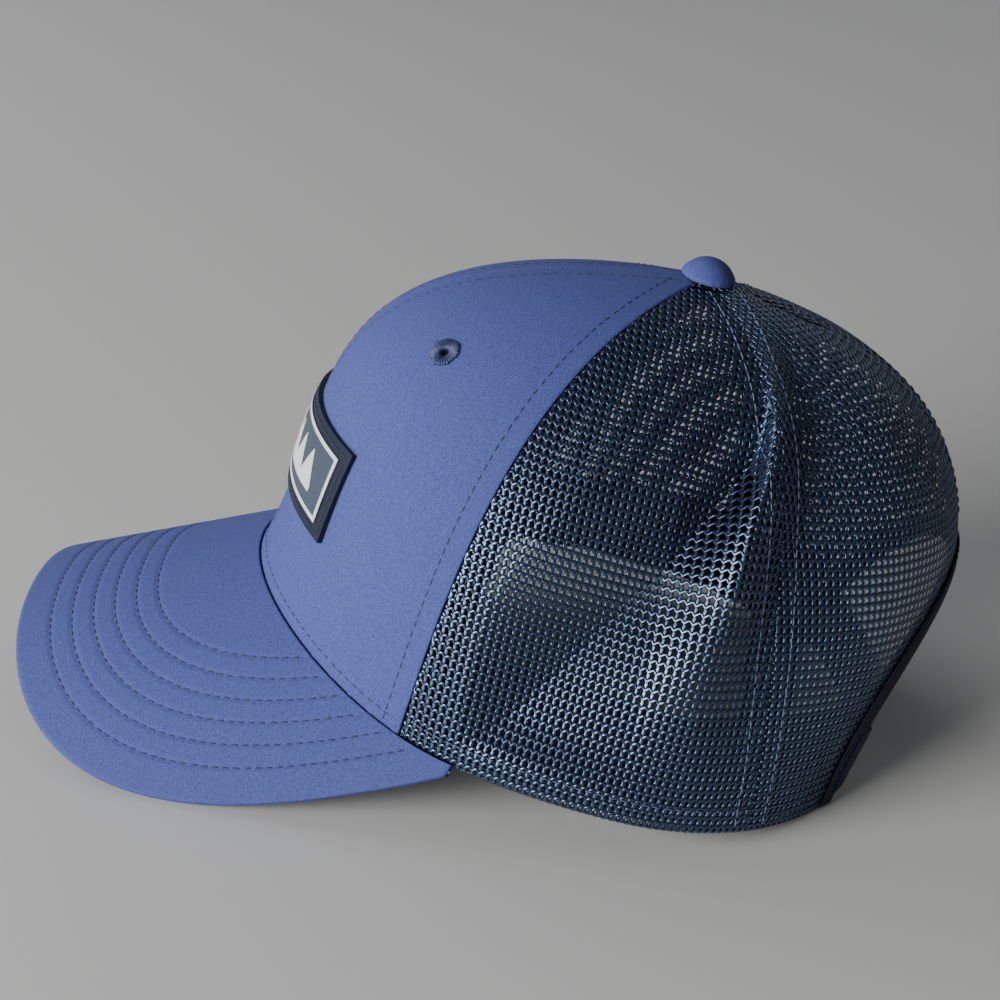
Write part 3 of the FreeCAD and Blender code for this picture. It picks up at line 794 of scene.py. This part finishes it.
def band_strip(name, start, end, low, high, depth, thick, step):
    """A strip of cloth round the inside of the hem between two heights."""
    wide = abs(end - start) * BAND_REACH
    across = graded(wide, step)
    angles = start + (end - start) * across
    bottom = rise_along_wall(angles, low)[:, None]
    top = rise_along_wall(angles, high)[:, None]
    grid = (across, graded(high - low, step, 0.4))
    return crown_sheet(name, start, end, bottom, top, grid, (wide, high - low), depth, thick)


sweatband = band_strip("sweatband_cloth", -BAND_END_ANGLE, BAND_END_ANGLE, HEM_LIFT + 0.4, BAND_HEIGHT,
                       BAND_DEPTH, BAND_THICK, 2.0)
finished(sweatband, band_cloth, stands_for=["sweatband"])
label = band_strip("care_label_cloth", math.radians(100.0), math.radians(127.0), 8.0, 27.0,
                   BAND_DEPTH + BAND_THICK + 0.15, 0.5, 1.5)
finished(label, label_cloth, stands_for=["care_label"])


# ---- rear arch binding ----

def behind(x, z, depth):
    """The point of the rear wall straight behind (x, z)."""
    angle = math.pi - np.arcsin(np.clip(x / HALF_WIDTH, -0.99, 0.99))
    for _ in range(12):
        rise = rise_at_height(angle, z)
        angle = angle + (crown(angle, rise)[..., 0] - x) / HALF_WIDTH
    return on_crown(angle, rise, depth)


def arch_outline(turn, margin):
    x, z = ARCH_HALF_WIDTH * np.cos(turn), ARCH_HEIGHT * np.sin(turn)
    away = unit(np.stack([np.cos(turn) / ARCH_HALF_WIDTH, 0 * turn, np.sin(turn) / ARCH_HEIGHT], -1))
    return x + away[..., 0] * margin, z + away[..., 2] * margin


def binding_section():
    """Closed outline of the folded tape: how far from the arch's edge, and how deep."""
    outer = -BINDING_GAP - BINDING_THICK / 2
    inner = MESH_THICK + BINDING_GAP + BINDING_THICK / 2
    middle, swing = (outer + inner) / 2, (inner - outer) / 2
    turns = np.linspace(0, math.pi, 9)[1:-1]
    line = [(BINDING_WIDTH * share, outer) for share in (1.0, 0.75, 0.5, 0.25, 0.03)]
    line += [(-0.35 * swing * math.sin(turn), middle - swing * math.cos(turn)) for turn in turns]
    line += [(BINDING_WIDTH * share, inner) for share in (0.03, 0.25, 0.5, 0.75, 1.0)]
    line = np.array(line)
    along = unit(np.gradient(line, axis=0))
    side = np.stack([along[:, 1], -along[:, 0]], 1) * BINDING_THICK / 2
    tips = [line[-1] + along[-1] * BINDING_THICK / 2 * 0.8, line[0] - along[0] * BINDING_THICK / 2 * 0.8]
    return np.concatenate([line + side, tips[:1], (line - side)[::-1], tips[1:]])


section = binding_section()
turns = np.linspace(math.radians(1.2), math.radians(178.8), 150)
turn_grid, margin = np.meshgrid(turns, section[:, 0], indexing="ij")
depth_grid = np.broadcast_to(section[:, 1], margin.shape)
x_grid, z_grid = arch_outline(turn_grid, margin)
points = behind(x_grid, z_grid, depth_grid)[0]
count_u, count_v = margin.shape
faces = grid_faces(count_u, count_v, ring_v=True).tolist()
faces.append(list(range(count_v)))
faces.append([(count_u - 1) * count_v + k for k in range(count_v)][::-1])
uv = np.stack([(turn_grid * 60).ravel(), np.broadcast_to(walked(section), margin.shape).ravel()], 1) * MM
points, faces = outward_faces(points.reshape(-1, 3), faces)
binding = new_mesh("arch_binding_cloth", points, faces, uv)
finished(binding, binding_cloth, stands_for=["arch_binding"])


# ---- bill ----

ARC_X = np.linspace(0.0, 120.0, 481)
ARC_LENGTH = walked(np.stack([ARC_X, bill_arch(ARC_X)], 1))


def x_at(across):
    return np.sign(across) * np.interp(np.abs(across), ARC_LENGTH, ARC_X)


def across_at(x):
    return np.sign(x) * np.interp(np.abs(x), ARC_X, ARC_LENGTH)


def signed_power(value, power):
    return np.sign(value) * np.abs(value) ** power


def bill_outline(turn):
    """Outer edge on the flat bill: across it, and forward of its corners."""
    power = 2 / BILL_ROUNDNESS
    half = across_at(CORNER_X) / signed_power(math.sin(BILL_OUTLINE_END), power)
    start = -BILL_REACH * signed_power(math.cos(BILL_OUTLINE_END), power)
    return np.stack([half * signed_power(np.sin(turn), power),
                     start + BILL_REACH * signed_power(np.cos(turn), power)], -1)


def bill_inner_edge(angle):
    x, y = hem_plan(angle)
    away = unit(np.stack([x / HALF_WIDTH ** 2, y / FRONT_REACH ** 2], -1))
    x, y = x + away[..., 0] * BILL_CROWN_GAP, y + away[..., 1] * BILL_CROWN_GAP
    return np.stack([across_at(x), (CORNER_Y - y) / math.cos(BILL_SLOPE)], -1)


def on_bill(flat, height):
    """A point of the flat bill, bent to its arch, at a height above the middle surface."""
    x = x_at(flat[..., 0])
    y = CORNER_Y - flat[..., 1] * math.cos(BILL_SLOPE)
    slope = 2 * BILL_ARCH_SQUARE * x + 4 * BILL_ARCH_FOURTH * x ** 3
    up = unit(np.stack([slope, np.full_like(x, -math.tan(BILL_SLOPE)), np.ones_like(x)], -1))
    return np.stack([x, y, bill_height(x, y)], -1) + up * np.asarray(height)[..., None], up


dense_outline = bill_outline(np.linspace(-BILL_OUTLINE_USED, BILL_OUTLINE_USED, 700))
outline_along = unit(np.gradient(dense_outline, axis=0))
outline_inward = np.stack([outline_along[:, 1], -outline_along[:, 0]], 1)
if outline_inward[350, 1] > 0:
    outline_inward = -outline_inward


def distance_to_outline(flat):
    shape = flat.shape[:-1]
    flat = flat.reshape(-1, 2)
    nearest = np.empty(len(flat))
    for start in range(0, len(flat), 4000):
        gap = flat[start:start + 4000, None] - dense_outline[None]
        nearest[start:start + 4000] = np.sqrt((gap ** 2).sum(-1)).min(1)
    return nearest.reshape(shape)


GROOVE_DEPTH = 0.3
GROOVE_HALF_WIDTH = 0.65
EDGE_ROUND = 1.6
EDGE_ROUND_POWER = 2.6
EDGE_FALL = 0.22
WRAP_STEPS = 8
COVER_SEAM_GAP = 0.03


def bill_cover(node, top, sign, step):
    """Cloth over one face of the bill, rounded down over its edge to the other cover."""
    spread = np.linspace(-1, 1, int(290 / step))
    inner = bill_inner_edge(spread * BILL_INNER_ANGLE)
    outer = bill_outline(spread * BILL_OUTLINE_USED)
    forward = np.linspace(0.0, 1.0, int(75 / step))
    flat = inner[:, None] + (outer - inner)[:, None] * forward[None, :, None]
    gap = distance_to_outline(flat)
    drop = np.zeros_like(gap)
    for row in range(BILL_ROWS):
        off = (gap - BILL_FIRST_ROW - row * BILL_ROW_PITCH) / GROOVE_HALF_WIDTH
        drop += GROOVE_DEPTH * np.exp(-off ** 2)
    fall_height = abs(top - BILL_MIDDLE) * EDGE_FALL
    on_edge = np.clip((EDGE_ROUND - gap) / EDGE_ROUND, 0.0, 1.0)
    fall = fall_height * (1 - (1 - on_edge ** EDGE_ROUND_POWER) ** (1 / EDGE_ROUND_POWER))
    outer_height = top - sign * (drop + fall)
    edge_out = unit(outer - inner)

    def wrapped(depth, heights):
        """One face of the cloth, and its turn over the edge of the bill."""
        rings = []
        for angle in np.linspace(0, math.pi / 2, WRAP_STEPS + 1)[1:]:
            out = (BILL_EDGE_REACH - depth) * math.sin(angle)
            start = top - sign * (fall_height + depth) - BILL_MIDDLE
            high = BILL_MIDDLE + start * math.cos(angle) + sign * COVER_SEAM_GAP
            rings.append(on_bill(outer + edge_out * out, np.full(len(outer), high))[0])
        return np.concatenate([on_bill(flat, heights)[0], np.stack(rings, 1)], 1)

    top_points = wrapped(0.0, outer_height)
    under_points = wrapped(COVER_THICK, outer_height - sign * COVER_THICK)
    count_u, count_v = top_points.shape[:2]
    total = count_u * count_v
    quads = grid_faces(count_u, count_v)
    faces = quads.tolist() + (quads[:, ::-1] + total).tolist()
    border = ([i * count_v for i in range(count_u)]
              + [(count_u - 1) * count_v + j for j in range(1, count_v)]
              + [i * count_v + count_v - 1 for i in range(count_u - 2, -1, -1)]
              + [j for j in range(count_v - 2, 0, -1)])
    for a, b in zip(border, border[1:] + border[:1]):
        faces.append([b, a, a + total, b + total])
    all_points = np.concatenate([top_points.reshape(-1, 3), under_points.reshape(-1, 3)])
    wrap_steps = np.arange(1, WRAP_STEPS + 1)[None, :, None] * 0.3
    wrap_flat = outer[:, None] + edge_out[:, None] * wrap_steps
    uv = np.concatenate([flat, wrap_flat], 1).reshape(-1, 2) * MM
    all_points, faces = outward_faces(all_points, faces)
    piece = new_mesh(node + "_cloth", all_points, faces, np.concatenate([uv, uv]))
    return finished(piece, bill_cloth, stands_for=[node])


bill_cover("bill_top_cover", BILL_TOP, 1, 0.6)
bill_cover("bill_under_cover", BILL_BOTTOM, -1, 0.9)


def bill_row(offset, height):
    """A row of stitching that follows the bill's outline at an offset."""
    flat = dense_outline + outline_inward * offset
    x = x_at(flat[:, 0])
    y = CORNER_Y - flat[:, 1] * math.cos(BILL_SLOPE)
    clear = (x / (HALF_WIDTH + 0.3)) ** 2 + (y / (FRONT_REACH + 0.3)) ** 2 > 1
    clear &= np.abs(np.arange(len(x)) - len(x) / 2) < len(x) / 2 - 3
    on_row = [np.abs(distance_to_outline(flat[k:k + 1]) - offset)[0] < 0.15 for k in range(len(flat))]
    clear &= np.array(on_row)
    best = max(kept_runs(clear), key=lambda run: run[1] - run[0])
    return on_bill(flat[best[0]:best[1]], np.full(best[1] - best[0], height))


rows_top, rows_under = [], []
for row in range(BILL_ROWS):
    offset = BILL_FIRST_ROW + row * BILL_ROW_PITCH
    path, ups = bill_row(offset, BILL_TOP - GROOVE_DEPTH)
    rows_top += stitches(path, ups, radius=0.21, lift=0.12)
    path, ups = bill_row(offset, BILL_BOTTOM + GROOVE_DEPTH)
    rows_under += stitches(path, -ups, radius=0.21, lift=0.12)
thread_piece("bill_stitching_top", rows_top, dark_thread)
thread_piece("bill_stitching_under", rows_under, dark_thread)


# ---- stitching on the crown ----

def seam_path(centre, side_offset, low, high):
    """A line beside a seam, a distance around from it."""
    rises = np.linspace(low, high, 300)
    middle = math.radians(centre)
    return on_crown(middle + side_offset / reach_per_radian(middle, rises), rises)


SEAM_STITCH_OFF = 6.0
CENTRE_STITCH_OFF = 5.5
HEM_STITCH_UP = 4.4
MESH_STITCH_OFF = 4.8
SEAM_ROW_START = 0.015
SEAM_ROW_END = 0.972
crown_rows = []
for sign in (1, -1):
    for centre, off in ((sign * FRONT_SEAM, -sign * SEAM_STITCH_OFF), (0.0, sign * CENTRE_STITCH_OFF)):
        crown_rows += stitches(*seam_path(centre, off, SEAM_ROW_START, SEAM_ROW_END), radius=0.18, lift=0.08)
angles = np.radians(np.linspace(-FRONT_SEAM + 1, FRONT_SEAM - 1, 500))
rises = rise_along_wall(angles, np.full(len(angles), HEM_STITCH_UP))
crown_rows += stitches(*on_crown(angles, rises), radius=0.18, lift=0.08)
thread_piece("front_stitching", crown_rows, dark_thread)

mesh_rows = []
for sign in (1, -1):
    for centre, off, low, high in ((SIDE_SEAM, MESH_STITCH_OFF, SEAM_ROW_START, SEAM_ROW_END),
                                   (SIDE_SEAM, -MESH_STITCH_OFF, SEAM_ROW_START, SEAM_ROW_END),
                                   (180.0, -MESH_STITCH_OFF, 0.5, 0.93)):
        mesh_rows += stitches(*seam_path(sign * centre, sign * off, low, high), radius=0.22, lift=0.2)
    angles = np.radians(np.linspace(sign * (FRONT_SEAM + 2), sign * 144.0, 500))
    rises = rise_along_wall(angles, np.full(len(angles), HEM_FOLD))
    mesh_rows += stitches(*on_crown(angles, rises), radius=0.17, lift=0.1)
thread_piece("mesh_stitching", mesh_rows, mesh_thread)

turns = np.linspace(math.radians(2.5), math.radians(177.5), 500)
binding_rows = []
for depth, flip in ((-BINDING_GAP - BINDING_THICK, 1), (MESH_THICK + BINDING_GAP + BINDING_THICK, -1)):
    x, z = arch_outline(turns, BINDING_WIDTH - 1.3)
    path, ups = behind(x, z, np.full_like(x, depth))
    binding_rows += stitches(path, ups * flip, radius=0.18, lift=0.08)
thread_piece("binding_stitching", binding_rows, dark_thread)


TACK_RADIUS = 0.3
TACK_HEIGHTS = np.arange(4.2, 22.2, 0.85)


def on_strap(x, height, radius):
    """A point of the bent and leaning strap."""
    y = math.sqrt(radius ** 2 - x ** 2) - STRAP_BEND
    up = height - STRAP_BOTTOM
    return np.array([x, STRAP_MIDDLE_Y + y * math.cos(STRAP_LEAN) + up * math.sin(STRAP_LEAN),
                     STRAP_BOTTOM - y * math.sin(STRAP_LEAN) + up * math.cos(STRAP_LEAN)])


# Short dense stitches that tack each end of the strap to the foot of the arch
tacks = []
for sign, outer in ((1, STRAP_BEND + STRAP_THICK), (-1, STRAP_BEND - STRAP_GAP)):
    for height in TACK_HEIGHTS:
        edge = ARCH_HALF_WIDTH * math.sqrt(1 - (height / ARCH_HEIGHT) ** 2)
        on_band = on_strap(sign * (edge - STRAP_END_GAP - 1.6), height, outer + 0.1)
        at_edge = on_strap(sign * (edge - STRAP_END_GAP), height, outer + 0.35)
        foot, out = behind(np.array([sign * (edge + 1.4)]), np.array([on_band[2]]),
                           np.array([-BINDING_GAP - BINDING_THICK]))
        line = np.array([on_band - out[0] * 0.4, on_band + out[0] * 0.1, at_edge,
                         foot[0] + out[0] * 0.25, foot[0] - out[0] * 0.2])
        tacks.append(tube(line, np.tile([0.0, 0.0, 1.0], (5, 1)), TACK_RADIUS, 8))
thread_piece("strap_end_stitching", tacks, dark_thread)


# ---- eyelets ----

def eyelet(side):
    """Satin stitch worked round an air hole, outside and inside."""
    centre, out = eyelet_centre[side], eyelet_axis[side]
    right = unit(np.cross(out, np.array([0.0, 0.0, 1.0])))
    up = np.cross(right, out)
    section = np.array([(1.3, -2.5), (1.2, -1.2), (1.2, -0.1), (1.4, 0.25), (2.0, 0.55), (2.9, 0.68),
                        (3.7, 0.6), (4.2, 0.4), (4.35, 0.05), (4.1, -0.05), (3.0, -0.05), (2.5, -0.2),
                        (2.5, -1.2), (2.5, -2.05), (3.6, -2.1), (4.1, -2.3), (3.9, -2.6), (3.0, -2.75),
                        (1.8, -2.7)])
    ridge = np.array([0.3, 0.3, 0.6, 1, 1, 1, 1, 1, 0.6, 0, 0, 0, 0, 0, 0.2, 0.6, 1, 1, 0.6]) * 0.16
    threads, samples = 34, 34 * 6
    turn = np.linspace(0, 2 * math.pi, samples, endpoint=False)
    uneven = 1 + 0.035 * np.sin(3 * turn + 1) + 0.03 * np.sin(7 * turn) + 0.02 * np.sin(19 * turn)
    bulge = np.cos(threads * turn + 2 * np.sin(turn))[:, None] * ridge[None]
    radius = section[None, :, 0] * np.where(section[None, :, 0] > 3.5, uneven[:, None], 1.0) + bulge * 0.5
    high = section[None, :, 1] + bulge * np.sign(section[None, :, 1])
    direction = right * np.cos(turn)[:, None] + up * np.sin(turn)[:, None]
    points = centre + direction[:, None] * radius[..., None] + out * high[..., None]
    faces = grid_faces(*radius.shape, ring_u=True, ring_v=True, turned=True).tolist()
    points, faces = outward_faces(points.reshape(-1, 3), faces)
    return new_mesh("eyelet_" + side + "_satin_stitch", points, faces)


for side in ("left", "right"):
    finished(eyelet(side), eyelet_thread, stands_for=["eyelet_" + side])


# ---- button ----

def button():
    """Cloth drawn over the button and gathered under its rim."""
    tall = BUTTON_HEIGHT
    outer = [(0.0, tall), (1.4, tall - 0.1), (2.9, tall - 0.46), (4.3, tall - 1.1), (5.5, tall - 1.95),
             (6.5, tall - 3.0), (7.25, tall - 4.0), (7.7, tall - 4.9), (7.75, 0.5), (7.4, 0.08), (7.2, 0.0)]
    inner = [(7.0, 0.0), (6.95, 0.3), (6.95, tall - 4.9), (6.5, tall - 4.1), (5.7, tall - 3.0),
             (4.5, tall - 2.0), (3.2, tall - 1.25), (1.6, tall - 0.8), (0.0, tall - 0.65)]
    profile = np.array(outer + inner)
    samples = 96
    turn = np.linspace(0, 2 * math.pi, samples, endpoint=False)
    pleat = 1 + 0.006 * np.sin(17 * turn)
    rim = smooth_step(profile[:, 0], 6.0, 7.8)
    radius = profile[None, 1:-1, 0] * (1 + (pleat[:, None] - 1) * rim[None, 1:-1])
    high = np.broadcast_to(profile[None, 1:-1, 1], radius.shape)
    ring = np.stack([radius * np.cos(turn)[:, None], radius * np.sin(turn)[:, None], high], -1)
    columns = radius.shape[1]
    faces = grid_faces(samples, columns, ring_u=True).tolist()
    top, bottom = samples * columns, samples * columns + 1
    for k in range(samples):
        after = (k + 1) % samples
        faces.append([top, after * columns, k * columns])
        faces.append([bottom, k * columns + columns - 1, after * columns + columns - 1])
    points = np.concatenate([ring.reshape(-1, 3), [[0, 0, profile[0, 1]], [0, 0, profile[-1, 1]]]])
    uv = points[:, :2] * MM
    points = points + np.array([0.0, APEX_Y, BUTTON_BASE])
    points, faces = outward_faces(points, faces)
    return new_mesh("button_cover_cloth", points, faces, uv)


finished(button(), button_cloth, stands_for=["button_cover"])


# ---- patch stitching and the parts that keep their CAD shape ----

def on_patch(across, up, height):
    angle = across / PATCH_RADIUS
    level = PATCH_CENTRE + up - PATCH_DROOP * (across / PATCH_HALF_WIDTH) ** 2
    rise = rise_at_height(angle, level)
    return on_crown(angle, rise, -height)


inset = 1.9
half_w, half_h = PATCH_HALF_WIDTH - inset, PATCH_HALF_HEIGHT - inset
long_side = np.linspace(-half_w, half_w, 160)
short_side = np.linspace(-half_h, half_h, 60)
patch_rows = []
for across, up in ((long_side, np.full(160, half_h)), (long_side, np.full(160, -half_h)),
                   (np.full(60, half_w), short_side), (np.full(60, -half_w), short_side)):
    patch_rows += stitches(*on_patch(across, up, PATCH_TOP), radius=0.2, lift=0.05)
thread_piece("patch_stitching", patch_rows, dark_thread)

cad_finish = {
    "bill_board": (bill_board_finish, 0.4),
    "button_shell": (button_metal, 0.0),
    "button_rivet": (button_metal, 0.0),
    "patch_base": (patch_navy, 0.35),
    "patch_panel": (patch_grey, 0.0),
    "patch_frame": (patch_white, 0.1),
    "patch_emblem": (patch_white, 0.1),
    "strap_holes": (strap_plastic, 0.25),
    "strap_pegs": (strap_plastic, 0.2),
}
for name, (finish, rounding) in cad_finish.items():
    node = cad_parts[name]
    node.data.materials.clear()
    node.data.materials.append(finish)
    node.data.polygons.foreach_set("use_smooth", [False] * len(node.data.polygons))
    if rounding:
        weld = node.modifiers.new("weld", "WELD")
        weld.merge_threshold = 1e-6
        bevel = node.modifiers.new("bevel", "BEVEL")
        bevel.width = rounding * MM
        bevel.segments = 3
        bevel.limit_method = "ANGLE"
        bevel.angle_limit = math.radians(35)


# ---- floor, light and camera ----

def backdrop():
    mesh = bpy.data.meshes.new("floor")
    mesh.from_pydata([(-12, -12, 0), (12, -12, 0), (12, 12, 0), (-12, 12, 0)], [], [(0, 1, 2, 3)])
    made = node_material("floor", Base_Color=(0.66, 0.66, 0.65, 1), Roughness=0.9, Specular_IOR_Level=0.1)[0]
    mesh.materials.append(made)
    placed("floor", mesh)


backdrop()


def soft_light(name, place, target, size, power, colour):
    data = bpy.data.lights.new(name, "AREA")
    data.shape = "RECTANGLE"
    data.size, data.size_y = size
    data.energy = power
    data.color = colour
    lamp = placed(name, data)
    lamp.location = place
    direction = Vector(target) - Vector(place)
    lamp.rotation_euler = direction.to_track_quat("-Z", "Y").to_euler()


soft_light("window", (1.25, -1.35, 0.5), (0.0, 0.0, 0.06), (1.3, 0.9), 66.0, (1.0, 0.99, 0.97))
soft_light("fill", (-1.7, 1.0, 1.0), (0.0, 0.0, 0.05), (1.8, 1.4), 4.0, (0.97, 0.98, 1.0))
soft_light("room", (-0.9, -1.3, 1.0), (0.0, -0.05, 0.05), (1.6, 1.2), 9.0, (0.97, 0.98, 1.0))

world = bpy.data.worlds.new("room")
world.use_nodes = True
world.node_tree.nodes["Background"].inputs["Color"].default_value = (0.80, 0.82, 0.85, 1)
world.node_tree.nodes["Background"].inputs["Strength"].default_value = 0.12
bpy.context.scene.world = world

CAMERA_PLACE = (0.597426, 0.0352281, 0.3122590)
CAMERA_TURN = [math.radians(degrees) for degrees in (67.45074, -2.77551, 94.28004)]
LENS = 79.03


def camera():
    data = bpy.data.cameras.new("camera")
    data.lens = LENS
    data.sensor_width = 36
    data.clip_start, data.clip_end = 0.01, 20
    eye = placed("camera", data)
    eye.location = CAMERA_PLACE
    eye.rotation_euler = CAMERA_TURN
    bpy.context.scene.camera = eye


camera()
